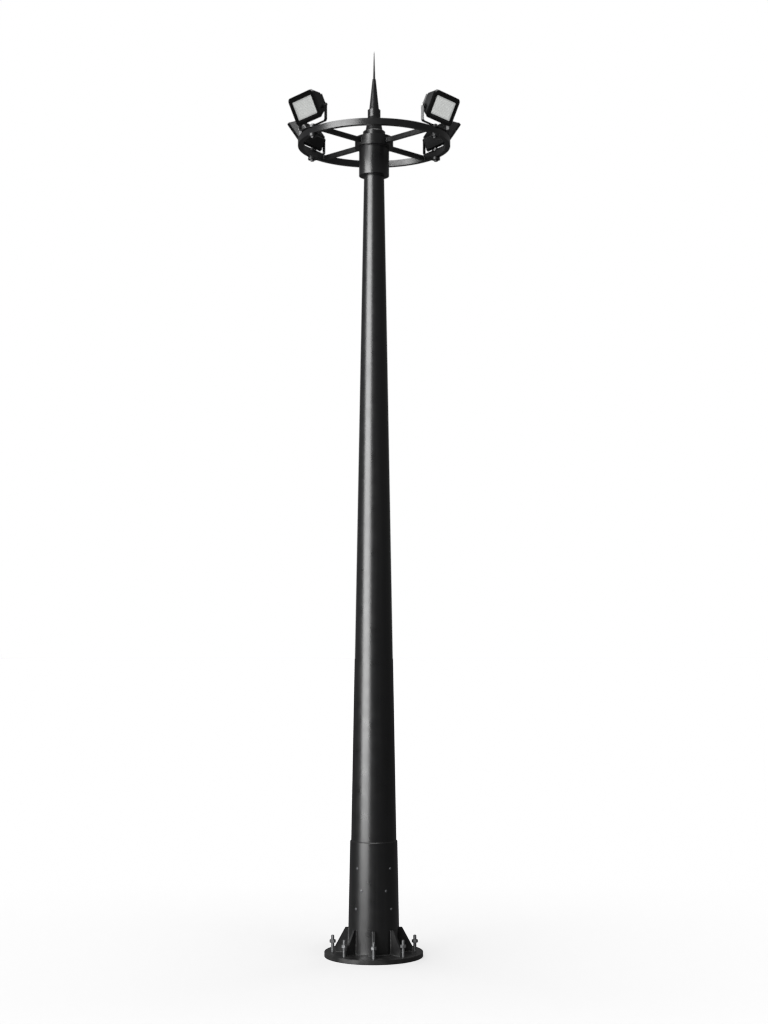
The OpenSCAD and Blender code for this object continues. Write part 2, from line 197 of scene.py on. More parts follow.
def paint_node(node, material):
    """Gives a carried-over CAD node its finish."""
    piece = frame["nodes"][node]
    if not piece.material_slots:
        piece.data.materials.append(material)
    for place in piece.material_slots:
        place.material = material


def lathe(bm, outline, steps):
    """Spins an outline of (radius, height) points round the Z axis."""
    verts = [bm.verts.new((r, 0, z)) for r, z in outline]
    edges = [bm.edges.new(pair) for pair in zip(verts, verts[1:])]
    bmesh.ops.spin(
        bm, geom=verts + edges, cent=(0, 0, 0), axis=(0, 0, 1), angle=TURN,
        steps=steps, use_merge=True,
    )
    bmesh.ops.remove_doubles(bm, verts=bm.verts, dist=MERGE)


def unit_mesh(build):
    """A small mesh for stamping, made by a function that fills a bmesh."""
    bm = bmesh.new()
    build(bm)
    bmesh.ops.recalc_face_normals(bm, faces=bm.faces)
    return baked(build.__name__, bm)


def absorb(bm, part):
    """Moves the whole of a small bmesh into a larger one."""
    mesh = baked("part", part)
    bm.from_mesh(mesh)
    bpy.data.meshes.remove(mesh)


def stamp(bm, unit, places):
    """Adds a copy of a small mesh at each place."""
    for place in places:
        known = len(bm.verts)
        bm.from_mesh(unit)
        bm.verts.ensure_lookup_table()
        bmesh.ops.transform(bm, matrix=place, verts=bm.verts[known:])


def rounded_face(bm, x, width, height, radius, segments=8):
    """A flat face towards +X with round corners, as wide along Y and as high along Z."""
    made = bmesh.ops.create_grid(bm, x_segments=1, y_segments=1, size=0.5)
    verts = made["verts"]
    bmesh.ops.scale(bm, vec=(height, width, 1), verts=verts)
    stand = Matrix.Translation((x, 0, 0)) @ Matrix.Rotation(math.pi / 2, 4, "Y")
    bmesh.ops.transform(bm, matrix=stand, verts=verts)
    done = bmesh.ops.bevel(
        bm, geom=verts, offset=radius, offset_type="OFFSET", segments=segments,
        profile=0.5, affect="VERTICES", material=-1,
    )
    return max(
        {f for v in done["verts"] for f in v.link_faces}, key=lambda f: f.calc_area()
    )


def rounded_ring(bm, width, height, radius, section):
    """A closed ring with round corners, through a section of points given as X and inset."""
    ring = bmesh.new()
    face = rounded_face(ring, 0, width, height, radius)
    hub_y, hub_z = width / 2 - radius, height / 2 - radius

    def settle(verts, x, inset):
        for vert in verts:
            hub = Vector((0, math.copysign(hub_y, vert.co.y), math.copysign(hub_z, vert.co.z)))
            away = Vector((0, vert.co.y, vert.co.z)) - hub
            vert.co = hub + away.normalized() * (radius - inset) + Vector((x, 0, 0))

    edges = list(face.edges)
    settle(face.verts, *section[0])
    bmesh.ops.delete(ring, geom=[face], context="FACES_ONLY")
    for x, inset in section[1:] + section[:1]:
        made = bmesh.ops.extrude_edge_only(ring, edges=edges)["geom"]
        verts = {g for g in made if isinstance(g, bmesh.types.BMVert)}
        edges = [g for g in made if isinstance(g, bmesh.types.BMEdge) and verts.issuperset(g.verts)]
        settle(verts, x, inset)
    bmesh.ops.remove_doubles(ring, verts=ring.verts, dist=MERGE)
    absorb(bm, ring)


def extrude_along(bm, faces, shift):
    """Pushes standalone faces out into a closed solid."""
    pushed = bmesh.ops.extrude_face_region(bm, geom=faces)["geom"]
    verts = [g for g in pushed if isinstance(g, bmesh.types.BMVert)]
    bmesh.ops.translate(bm, vec=shift, verts=verts)
    return [g for g in pushed if isinstance(g, bmesh.types.BMFace)]


# ---- Weld beads ----


BEAD_SINK = 1.5 * MM
BEAD_BULGE = 0.35
RIPPLE_PITCH = 12 * MM
RIPPLE_STEPS = 3
RIPPLE_DEPTH = 0.10


def bead_outline(leg):
    """A fillet's section in its corner: the two legs, a slightly round face and a sunk root."""
    points = [(-BEAD_SINK, -BEAD_SINK), (leg, -BEAD_SINK)]
    for share in (0.0, 1 / 3, 2 / 3, 1.0):
        turn = share * math.pi / 2
        flat = Vector((1 - share, share))
        bowed = Vector((math.cos(turn), math.sin(turn)))
        points.append(tuple(flat.lerp(bowed, BEAD_BULGE) * leg))
    points.append((-BEAD_SINK, leg))
    return points


def ripple(along):
    """How far a bead's face stands out at a distance along it, as a factor."""
    return 1 + RIPPLE_DEPTH * math.cos(TURN * along / RIPPLE_PITCH)


def ring_bead(bm, radius, z, leg, up):
    """A rippled fillet round the mast, above a face with up of 1, or below it with -1."""
    ring = bmesh.new()
    verts = [ring.verts.new((radius + a, 0, z + up * b)) for a, b in bead_outline(leg)]
    edges = [ring.edges.new((v, verts[i - 1])) for i, v in enumerate(verts)]
    ripples = round(TURN * radius / RIPPLE_PITCH)
    bmesh.ops.spin(
        ring, geom=verts + edges, cent=(0, 0, 0), axis=(0, 0, 1), angle=TURN,
        steps=ripples * RIPPLE_STEPS, use_merge=True,
    )
    for vert in ring.verts:
        turn = math.atan2(vert.co.y, vert.co.x)
        swell = ripple(turn * ripples * RIPPLE_PITCH / TURN)
        r = radius + (vert.co.xy.length - radius) * swell
        vert.co = Vector((r * math.cos(turn), r * math.sin(turn), z + (vert.co.z - z) * swell))
    absorb(bm, ring)


def straight_bead(bm, start, end, first_leg, second_leg, outline):
    """A rippled bead from start to end in the corner between two leg directions."""
    run = end - start
    steps = max(2, round(run.length / RIPPLE_PITCH) * RIPPLE_STEPS)
    bead = bmesh.new()
    face = bead.faces.new([bead.verts.new((a, b, 0)) for a, b in outline])
    extrude_along(bead, [face], Vector((0, 0, run.length)))
    long_edges = [e for e in bead.edges if abs(e.verts[0].co.z - e.verts[1].co.z) > run.length / 2]
    bmesh.ops.subdivide_edges(bead, edges=long_edges, cuts=steps - 1, use_grid_fill=True)
    for vert in bead.verts:
        swell = ripple(vert.co.z)
        vert.co.x *= swell
        vert.co.y *= swell
    axes = Matrix((first_leg, second_leg, run.normalized())).transposed().to_4x4()
    bmesh.ops.transform(bead, matrix=Matrix.Translation(start) @ axes, verts=bead.verts)
    absorb(bm, bead)


# ---- Shader groups ----


class Graph:
    """Adds nodes to a tree and joins them by name."""

    def __init__(self, tree):
        self.tree = tree

    def node(self, kind, inputs=None, **settings):
        made = self.tree.nodes.new(kind)
        for name, value in settings.items():
            setattr(made, name, value)
        for name, value in (inputs or {}).items():
            socket = made.inputs[name]
            if isinstance(value, bpy.types.NodeSocket):
                self.tree.links.new(value, socket)
            else:
                socket.default_value = value
        return made

    def noise(self, vector, scale, detail=2.0):
        """Noise from 0 to 1 at a number of features per metre."""
        made = self.node("ShaderNodeTexNoise", {"Vector": vector, "Scale": scale, "Detail": detail})
        return made.outputs["Fac"]

    def stretch(self, vector, scale):
        made = self.node("ShaderNodeMapping", {"Vector": vector, "Scale": scale})
        return made.outputs["Vector"]

    def ramp(self, value, low, high, to_low=0.0, to_high=1.0):
        """Spreads a value between two limits over a new range, and holds it there."""
        made = self.node(
            "ShaderNodeMapRange",
            {
                "Value": value, "From Min": low, "From Max": high,
                "To Min": to_low, "To Max": to_high,
            },
        )
        return made.outputs["Result"]

    def math(self, operation, first, second):
        made = self.node("ShaderNodeMath", {0: first, 1: second}, operation=operation)
        return made.outputs[0]

    def blend(self, factor, first, second):
        """Mixes two colours."""
        made = self.node("ShaderNodeMix", data_type="RGBA")
        for socket, value in ((0, factor), (6, first), (7, second)):
            if isinstance(value, bpy.types.NodeSocket):
                self.tree.links.new(value, made.inputs[socket])
            else:
                made.inputs[socket].default_value = value
        return made.outputs[2]


SOCKETS = {"color": "NodeSocketColor", "float": "NodeSocketFloat"}


def shader_group(name, inputs, outputs, build):
    """Builds a shared node group once and gives it back after that."""
    if name in bpy.data.node_groups:
        return bpy.data.node_groups[name]
    tree = bpy.data.node_groups.new(name, "ShaderNodeTree")
    for label, kind, default in inputs:
        socket = tree.interface.new_socket(label, in_out="INPUT", socket_type=SOCKETS[kind])
        socket.default_value = default
    for label, kind in outputs:
        tree.interface.new_socket(label, in_out="OUTPUT", socket_type=SOCKETS[kind])
    graph = Graph(tree)
    given = graph.node("NodeGroupInput").outputs
    results = build(graph, given)
    wanted = graph.node("NodeGroupOutput")
    for label, result in results.items():
        tree.links.new(result, wanted.inputs[label])
    return tree


def weathering_nodes(graph, given):
    """Coat colour with faint rain streaks and ground dust, its gloss, and its orange peel."""
    place = graph.node("ShaderNodeTexCoord").outputs["Object"]
    streaks = graph.noise(graph.stretch(place, (16, 16, 0.5)), 1.0, 4.0)
    streaks = graph.math("MULTIPLY", graph.ramp(streaks, 0.48, 0.75), given["Streaks"])
    blotches = graph.noise(place, 5.0, 5.0)
    height = graph.node("ShaderNodeSeparateXYZ", {"Vector": place}).outputs["Z"]
    dust = graph.ramp(height, 0.0, given["Dust height"], 1.0, 0.0)
    dust = graph.math("MULTIPLY", dust, graph.ramp(blotches, 0.35, 0.7))
    dust = graph.math("MULTIPLY", dust, given["Dust"])
    dirt = graph.math("MAXIMUM", streaks, dust)
    color = graph.blend(dirt, given["Coat"], given["Dirt"])
    patches = graph.ramp(blotches, 0.3, 0.7, -0.5, 0.5)
    gloss = graph.math("MULTIPLY", patches, given["Gloss variation"])
    gloss = graph.math("ADD", gloss, given["Roughness"])
    gloss = graph.math("ADD", gloss, graph.math("MULTIPLY", dirt, 0.25))
    peel = graph.noise(place, given["Grain per metre"], 2.0)
    return {"Color": color, "Roughness": gloss, "Height": peel, "Dirt": dirt}


def weathering_group():
    return shader_group(
        "Coat weathering",
        [
            ("Coat", "color", (0.02, 0.02, 0.02, 1)), ("Dirt", "color", (0.2, 0.19, 0.17, 1)),
            ("Streaks", "float", 0.3), ("Dust", "float", 0.5), ("Dust height", "float", 0.5),
            ("Roughness", "float", 0.4), ("Gloss variation", "float", 0.1),
            ("Grain per metre", "float", 400.0),
        ],
        [("Color", "color"), ("Roughness", "float"), ("Height", "float"), ("Dirt", "float")],
        weathering_nodes,
    )


def edge_nodes(graph, given):
    """A mask of the outer edges, broken up as rubbed paint is."""
    place = graph.node("ShaderNodeTexCoord").outputs["Object"]
    rounded = graph.node("ShaderNodeBevel", {"Radius": given["Width"]}, samples=4).outputs[0]
    flat = graph.node("ShaderNodeNewGeometry").outputs["Normal"]
    facing = graph.node(
        "ShaderNodeVectorMath", {0: rounded, 1: flat}, operation="DOT_PRODUCT"
    ).outputs["Value"]
    edge = graph.ramp(facing, 0.98, 0.80)
    broken = graph.ramp(graph.noise(place, 60.0, 4.0), 0.45, 0.65)
    return {"Mask": graph.math("MULTIPLY", graph.math("MULTIPLY", edge, broken), given["Amount"])}


def edge_group():
    return shader_group(
        "Edge rub",
        [("Width", "float", 0.003), ("Amount", "float", 0.5)],
        [("Mask", "float")],
        edge_nodes,
    )


def spangle_nodes(graph, given):
    """Zinc crystals: each has its own shade and gloss, over a fine grain."""
    place = graph.node("ShaderNodeTexCoord").outputs["Object"]
    crystals = graph.node(
        "ShaderNodeTexVoronoi", {"Vector": place, "Scale": given["Crystals per metre"]}
    )
    shade = graph.node("ShaderNodeSeparateColor", {"Color": crystals.outputs["Color"]}).outputs[0]
    color = graph.blend(shade, given["Dark zinc"], given["Light zinc"])
    gloss = graph.math("ADD", graph.math("MULTIPLY", shade, -0.15), given["Roughness"])
    grain = graph.noise(place, 700.0, 3.0)
    return {"Color": color, "Roughness": gloss, "Height": grain}


def spangle_group():
    return shader_group(
        "Zinc spangle",
        [
            ("Dark zinc", "color", (0.35, 0.36, 0.38, 1)),
            ("Light zinc", "color", (0.6, 0.61, 0.63, 1)),
            ("Crystals per metre", "float", 90.0), ("Roughness", "float", 0.5),
        ],
        [("Color", "color"), ("Roughness", "float"), ("Height", "float")],
        spangle_nodes,
    )


# ---- Materials ----


def plain_material(name, **sockets):
    """A material with its Principled shader, whose even values are on the shader's own sockets."""
    material = bpy.data.materials.new(name)
    material.use_nodes = True
    shader = material.node_tree.nodes["Principled BSDF"]
    for label, value in sockets.items():
        shader.inputs[label.replace("_", " ")].default_value = value
    return material, Graph(material.node_tree), shader


def bump(graph, shader, height, distance, strength=1.0):
    made = graph.node(
        "ShaderNodeBump", {"Height": height, "Distance": distance, "Strength": strength}
    )
    graph.tree.links.new(made.outputs["Normal"], shader.inputs["Normal"])


def coated_material(name, coat, roughness, streaks, dust, dust_height, grain, peel, rub):
    """Satin paint or powder coat on metal, weathered and slightly rubbed at its edges."""
    material, graph, shader = plain_material(name, Specular_IOR_Level=0.8)
    looks = bpy.context.scene.tower_finish
    skin = graph.node("ShaderNodeGroup", node_tree=weathering_group())
    even = {
        "Coat": (*coat, 1), "Dirt": (*looks.dust_color, 1), "Streaks": streaks, "Dust": dust,
        "Dust height": dust_height, "Roughness": roughness, "Gloss variation": 0.08,
        "Grain per metre": grain,
    }
    for label, value in even.items():
        skin.inputs[label].default_value = value
    edge = graph.node("ShaderNodeGroup", node_tree=edge_group())
    edge.inputs["Width"].default_value = 3 * MM
    edge.inputs["Amount"].default_value = rub
    color = graph.blend(edge.outputs["Mask"], skin.outputs["Color"], (*looks.rubbed_color, 1))
    graph.tree.links.new(color, shader.inputs["Base Color"])
    graph.tree.links.new(skin.outputs["Roughness"], shader.inputs["Roughness"])
    bump(graph, shader, skin.outputs["Height"], peel)
    return material


def zinc_material(name, crystals, roughness):
    """Hot-dip galvanised steel."""
    material, graph, shader = plain_material(name, Metallic=1.0)
    skin = graph.node("ShaderNodeGroup", node_tree=spangle_group())
    looks = bpy.context.scene.tower_finish
    skin.inputs["Dark zinc"].default_value = (*(0.62 * c for c in looks.zinc_color), 1)
    skin.inputs["Light zinc"].default_value = (*looks.zinc_color, 1)
    skin.inputs["Crystals per metre"].default_value = crystals
    skin.inputs["Roughness"].default_value = roughness
    graph.tree.links.new(skin.outputs["Color"], shader.inputs["Base Color"])
    graph.tree.links.new(skin.outputs["Roughness"], shader.inputs["Roughness"])
    bump(graph, shader, skin.outputs["Height"], 0.2 * MM)
    return material


def brushed_material(name, color, roughness):
    """Turned stainless steel with a fine grain."""
    material, graph, shader = plain_material(name, Metallic=1.0)
    place = graph.node("ShaderNodeTexCoord").outputs["Object"]
    grain = graph.noise(graph.stretch(place, (900, 900, 60)), 1.0, 3.0)
    dim = tuple(0.75 * c for c in color)
    shade = graph.blend(grain, (*dim, 1), (*color, 1))
    graph.tree.links.new(shade, shader.inputs["Base Color"])
    gloss = graph.ramp(grain, 0.3, 0.7, roughness, roughness + 0.12)
    graph.tree.links.new(gloss, shader.inputs["Roughness"])
    bump(graph, shader, grain, 0.05 * MM)
    return material


def glass_material():
    """Clear toughened glass, with a faint film of dust that makes it less glossy in places."""
    material, graph, shader = plain_material(
        "front_glass", Base_Color=(0.96, 0.98, 0.98, 1), Transmission_Weight=1.0, IOR=1.47
    )
    place = graph.node("ShaderNodeTexCoord").outputs["Object"]
    film = graph.noise(place, 14.0, 5.0)
    graph.tree.links.new(graph.ramp(film, 0.4, 0.8, 0.02, 0.10), shader.inputs["Roughness"])
    return material


def board_material():
    """Pale lacquer on the lamp's boards and reflector, a little warmer where it has aged. It also
    gives off a faint glow in its own colour, which is painted light on a part that is no lamp.
    """
    glow = bpy.context.scene.tower_finish.board_painted_glow
    material, graph, shader = plain_material("white_board_painted_glow", Emission_Strength=glow)
    place = graph.node("ShaderNodeTexCoord").outputs["Object"]
    tone = graph.noise(place, 9.0, 4.0)
    color = graph.blend(graph.ramp(tone, 0.35, 0.75), (0.46, 0.46, 0.455, 1), (0.40, 0.40, 0.39, 1))
    graph.tree.links.new(color, shader.inputs["Base Color"])
    # The lacquer's own colour glows too: painted light on the board and reflector.
    graph.tree.links.new(color, shader.inputs["Emission Color"])
    graph.tree.links.new(graph.ramp(tone, 0.3, 0.7, 0.35, 0.5), shader.inputs["Roughness"])
    return material


def lens_material():
    """Moulded LED lenses, clear over a pale phosphor."""
    glow = bpy.context.scene.tower_finish.lens_glow
    material, graph, shader = plain_material("led_lens", Emission_Strength=glow, Coat_Weight=0.6)
    place = graph.node("ShaderNodeTexCoord").outputs["Object"]
    tone = graph.noise(place, 40.0, 2.0)
    color = graph.blend(tone, (0.60, 0.595, 0.58, 1), (0.70, 0.70, 0.69, 1))
    graph.tree.links.new(color, shader.inputs["Base Color"])
    graph.tree.links.new(color, shader.inputs["Emission Color"])
    graph.tree.links.new(graph.ramp(tone, 0.3, 0.7, 0.08, 0.2), shader.inputs["Roughness"])
    return material


def rubber_material():
    """Black gasket rubber, dull, with a fine bloom."""
    material, graph, shader = plain_material("gasket_rubber")
    place = graph.node("ShaderNodeTexCoord").outputs["Object"]
    bloom = graph.noise(place, 120.0, 4.0)
    color = graph.blend(bloom, (0.012, 0.012, 0.012, 1), (0.035, 0.035, 0.034, 1))
    graph.tree.links.new(color, shader.inputs["Base Color"])
    graph.tree.links.new(graph.ramp(bloom, 0.3, 0.7, 0.6, 0.8), shader.inputs["Roughness"])
    bump(graph, shader, bloom, 0.1 * MM)
    return material


def floor_material():
    """Matt studio floor. It shows only its shadows, and its paint sends light back up."""
    material, graph, shader = plain_material("studio_floor", Specular_IOR_Level=0.1)
    place = graph.node("ShaderNodeTexCoord").outputs["Object"]
    tone = graph.noise(place, 0.6, 3.0)
    level = bpy.context.scene.tower_stage.floor_level
    lighter = level * 1.02
    color = graph.blend(tone, (level, level, level, 1), (lighter, lighter, lighter, 1))
    graph.tree.links.new(color, shader.inputs["Base Color"])
    graph.tree.links.new(graph.ramp(tone, 0.3, 0.7, 0.8, 0.9), shader.inputs["Roughness"])
    return material


def finishes():
    """Every finish of the tower by name, made once."""
    if "mast_coat" not in bpy.data.materials:
        looks = bpy.context.scene.tower_finish
        coat = tuple(looks.coat_color)
        cast = tuple(looks.casting_color)
        # The bolt heads take the mast coat fifteen times lighter: a painted highlight, not a paint
        # of their own.
        bolt = tuple(15 * c for c in coat)
        gloss = looks.coat_roughness
        cast_gloss = looks.casting_roughness
        for name, color, roughness, streaks, dust, dust_height, grain, peel, rub in (
            ("mast_coat", coat, gloss, 0.10, 0.35, 0.6, 420.0, 0.12, 0.35),
            ("flange_coat", coat, gloss + 0.06, 0.10, 0.6, 0.5, 420.0, 0.12, 0.6),
            ("terminal_coat", coat, gloss, 0.12, 0.0, 0.5, 420.0, 0.12, 0.35),
            ("yoke_coat", coat, gloss + 0.04, 0.12, 0.0, 0.5, 900.0, 0.15, 0.35),
            ("casting_coat", cast, cast_gloss, 0.14, 0.0, 0.5, 1300.0, 0.25, 0.35),
            ("weld_coat", coat, gloss + 0.08, 0.1, 0.3, 0.5, 260.0, 0.5, 0.0),
            ("bolt_coat_painted_highlight", bolt, gloss, 0.1, 0.2, 2.0, 700.0, 0.1, 0.35),
        ):
            coated_material(
                name, color, roughness, streaks, dust, dust_height, grain, peel * MM, rub
            )
        zinc_material("anchor_zinc", 90.0, 0.62)
        brushed_material("stainless", tuple(looks.stainless_color), 0.28)
        glass_material()
        board_material()
        lens_material()
        rubber_material()
    return bpy.data.materials


# ---- Settings ----


class TowerFinish(bpy.types.PropertyGroup):
    """Colours and gloss of the tower's finishes."""

    coat_color: bpy.props.FloatVectorProperty(
        name="Coat", description="Colour of the satin black paint", subtype="COLOR",
        default=(0.0055, 0.0056, 0.006), min=0, max=1,
    )
    coat_roughness: bpy.props.FloatProperty(
        name="Coat roughness", description="Roughness of the satin black paint",
        subtype="FACTOR", default=0.30, min=0, max=1,
    )
    casting_color: bpy.props.FloatVectorProperty(
        name="Casting", description="Colour of the powder coat on the floodlights", subtype="COLOR",
        default=(0.0075, 0.0077, 0.008), min=0, max=1,
    )
    casting_roughness: bpy.props.FloatProperty(
        name="Casting roughness", description="Roughness of the powder coat on the floodlights",
        subtype="FACTOR", default=0.42, min=0, max=1,
    )
    zinc_color: bpy.props.FloatVectorProperty(
        name="Zinc", description="Lightest shade of the galvanised steel", subtype="COLOR",
        default=(0.34, 0.345, 0.35), min=0, max=1,
    )
    stainless_color: bpy.props.FloatVectorProperty(
        name="Stainless", description="Colour of the stainless bolts", subtype="COLOR",
        default=(0.30, 0.30, 0.295), min=0, max=1,
    )
    rubbed_color: bpy.props.FloatVectorProperty(
        name="Rubbed edge", description="Colour of paint that is rubbed at an edge",
        subtype="COLOR",
        default=(0.03, 0.03, 0.031), min=0, max=1,
    )
    dust_color: bpy.props.FloatVectorProperty(
        name="Dust", description="Colour of dust and rain streaks", subtype="COLOR",
        default=(0.030, 0.029, 0.028), min=0, max=1,
    )
    # The boards' glow is painted light: it brightens the white lacquer, which gives off no light of
    # its own.
    board_painted_glow: bpy.props.FloatProperty(
        name="Board glow", description="Light that the white boards give off", default=0.95, min=0,
    )
    lens_glow: bpy.props.FloatProperty(
        name="Lens glow", description="Light that the LED lenses give off", default=0.95, min=0,
    )


class TowerDetails(bpy.types.PropertyGroup):
    """Sizes of the welds, threads and lamp interiors."""

    base_weld: bpy.props.FloatProperty(
        name="Base weld", description="Leg of the welds at the base", subtype="DISTANCE",
        default=16 * MM, min=4 * MM, max=30 * MM,
    )
    head_weld: bpy.props.FloatProperty(
        name="Head weld", description="Leg of the welds at the mast head", subtype="DISTANCE",
        default=9 * MM, min=3 * MM, max=20 * MM,
    )
    seam_width: bpy.props.FloatProperty(
        name="Seam", description="Width of the long seam down the back of the shaft",
        subtype="DISTANCE", default=16 * MM, min=6 * MM, max=30 * MM,
    )
    thread_pitch: bpy.props.FloatProperty(
        name="Thread pitch", description="Pitch of the anchor studs' thread", subtype="DISTANCE",
        default=5 * MM, min=2 * MM, max=8 * MM,
    )
    led_columns: bpy.props.IntProperty(
        name="LED columns", description="LEDs across one floodlight", default=22, min=4, max=40,
    )
    led_rows: bpy.props.IntProperty(
        name="LED rows", description="LEDs down one floodlight", default=12, min=2, max=30,
    )


class TowerStage(bpy.types.PropertyGroup):
    """The floor, the light and the camera's place."""

    floor_level: bpy.props.FloatProperty(
        name="Floor", description="Brightness of the floor's paint", subtype="FACTOR",
        default=0.35, min=0, max=1,
    )
    backdrop_level: bpy.props.FloatProperty(
        name="Backdrop", description="Brightness of the white backdrop to the camera",
        default=1.0, min=0,
    )
    fill_level: bpy.props.FloatProperty(
        name="Fill", description="Brightness of the surround as a light", default=0.12, min=0,
    )
    key_power: bpy.props.FloatProperty(
        name="Key", description="Power of the large light at the front left, in watts",
        default=14000, min=0,
    )
    top_power: bpy.props.FloatProperty(
        name="Top", description="Power of the light overhead, in watts", default=1800, min=0,
    )
    camera_distance: bpy.props.FloatProperty(
        name="Camera distance", description="Distance from the camera to the mast",
        subtype="DISTANCE", default=31.0, min=5,
    )
    camera_height: bpy.props.FloatProperty(
        name="Camera height", description="Height of the camera", subtype="DISTANCE",
        default=5.7386, min=0,
    )
    camera_lens: bpy.props.FloatProperty(
        name="Lens", description="Focal length on a 36 mm sensor, in millimetres",
        default=59.55, min=10,
    )
    camera_pitch: bpy.props.FloatProperty(
        name="Pitch", description="How far the camera looks up", subtype="ANGLE",
        default=math.radians(4.1866),
    )
    camera_yaw: bpy.props.FloatProperty(
        name="Yaw", description="How far the camera looks to the right of the mast",
        subtype="ANGLE", default=math.radians(0.3416),
    )


# ---- Operators ----


class TowerOperator(bpy.types.Operator):
    """A step that adds to the tower."""

    bl_options = {"REGISTER", "UNDO"}

    def execute(self, context):
        self.build(context.scene.tower_details, finishes())
        return {"FINISHED"}


def aimed(location, target):
    """A light's or camera's place, looking at a target."""
    toward = Vector(target) - Vector(location)
    return Matrix.Translation(location) @ toward.to_track_quat("-Z", "Y").to_matrix().to_4x4()


def area_light(name, place, target, width, height, power, unlit):
    """A soft light that the camera doesn't see and some objects don't receive."""
    data = bpy.data.lights.new(name, "AREA")
    data.shape = "RECTANGLE"
    data.size, data.size_y = width, height
    data.energy = power
    light = bpy.data.objects.new(name, data)
    light.matrix_world = aimed(place, target)
    light.visible_camera = False
    if unlit:
        reach = bpy.data.collections.new(f"{name}_reach")
        for piece in unlit:
            reach.objects.link(piece)
        for linked in reach.collection_objects:
            linked.light_linking.link_state = "EXCLUDE"
        light.light_linking.receiver_collection = reach
    bpy.context.scene.collection.objects.link(light)


class TOWER_OT_stage(bpy.types.Operator):
    """Makes the pale floor, the soft light, the white surround and the camera"""

    bl_idname = "tower.stage"
    bl_label = "Stage"
    bl_options = {"REGISTER", "UNDO"}

    def execute(self, context):
        stage = context.scene.tower_stage
        self.floor()
        self.surround(context.scene, stage)
        key_reach = 24.0
        key_turn = math.radians(-48)
        key_width, key_height = 20, 26
        key_rise = 3
        top_width = 12
        top_rise = 14
        top = CAD_BOX[1].z
        mid = top / 2
        key_place = (
            key_reach * math.sin(key_turn), -key_reach * math.cos(key_turn), mid + key_rise,
        )
        shaded = ("floor", "led_board", "glass", "frame", "gasket")
        unlit = [o for o in bpy.data.objects if o.name.startswith(shaded)]
        area_light(
            "key_light", key_place, (0, 0, mid), key_width, key_height, stage.key_power, unlit,
        )
        area_light(
            "top_light", (0, 0, top + top_rise), (0, 0, 0), top_width, top_width,
            stage.top_power, [],
        )
        self.camera(context.scene, stage)
        return {"FINISHED"}

    def floor(self):
        bm = bmesh.new()
        bmesh.ops.create_circle(bm, cap_ends=True, segments=96, radius=FLOOR_RADIUS)
        mesh = baked("floor", bm)
        mesh.materials.append(floor_material())
        floor = bpy.data.objects.new("floor", mesh)
        floor.is_shadow_catcher = True
        bpy.context.scene.collection.objects.link(floor)

    def surround(self, scene, stage):
        world = bpy.data.worlds.new("surround")
        world.use_nodes = True
        graph = Graph(world.node_tree)
        seen = graph.node("ShaderNodeLightPath").outputs["Is Camera Ray"]
        level = graph.ramp(seen, 0.0, 1.0, stage.fill_level, stage.backdrop_level)
        back = world.node_tree.nodes["Background"]
        back.inputs["Color"].default_value = (1, 1, 1, 1)
        world.node_tree.links.new(level, back.inputs["Strength"])
        scene.world = world
        scene.view_settings.view_transform = "Standard"

    def camera(self, scene, stage):
        data = bpy.data.cameras.new("camera")
        data.lens = stage.camera_lens
        data.sensor_width = SENSOR_WIDTH
        data.clip_end = 1000
        camera = bpy.data.objects.new("camera", data)
        camera.location = (0, -stage.camera_distance, stage.camera_height)
        camera.rotation_euler = (math.pi / 2 + stage.camera_pitch, 0, -stage.camera_yaw)
        scene.collection.objects.link(camera)
        scene.camera = camera


class TOWER_OT_mast_finish(TowerOperator):
    """Paints the mast, its head, the ring and the air terminal"""

    bl_idname = "tower.mast_finish"
    bl_label = "Mast finish"

    def build(self, sizes, looks):
        arms = [f"arm_{corner}" for corner in CORNERS]
        for node in [
            "mast_shaft", "base_sleeve", "head_collar", "hub_drum", "drum_cover", "head_cap",
            "carrier_ring", *arms,
        ]:
            paint_node(node, looks["mast_coat"])
        for node in ("spire_socket", "spire", "lightning_rod"):
            paint_node(node, looks["terminal_coat"])


class TOWER_OT_base_finish(TowerOperator):
    """Paints the flange and its gussets, and gives the anchor studs and nuts their zinc"""

    bl_idname = "tower.base_finish"
    bl_label = "Base finish"

    def build(self, sizes, looks):
        paint_node("base_flange", looks["flange_coat"])
        paint_node("gussets", looks["flange_coat"])
        paint_node("anchor_studs", looks["anchor_zinc"])
        paint_node("anchor_nuts", looks["anchor_zinc"])
        # The sleeve bolts get the lightened copy of the coat, a painted highlight.
        paint_node("sleeve_bolts", looks["bolt_coat_painted_highlight"])


class TOWER_OT_lamp_finish(TowerOperator):
    """Coats the floodlights, their yokes and their stands"""

    bl_idname = "tower.lamp_finish"
    bl_label = "Floodlight finish"

    def build(self, sizes, looks):
        for corner in CORNERS:
            paint_node(f"stand_{corner}", looks["yoke_coat"])
            paint_node(f"yoke_{corner}", looks["yoke_coat"])
            paint_node(f"housing_{corner}", looks["casting_coat"])
            paint_node(f"frame_{corner}", looks["casting_coat"])
            paint_node(f"glass_{corner}", looks["front_glass"])
            paint_node(f"tilt_bolts_{corner}", looks["stainless"])


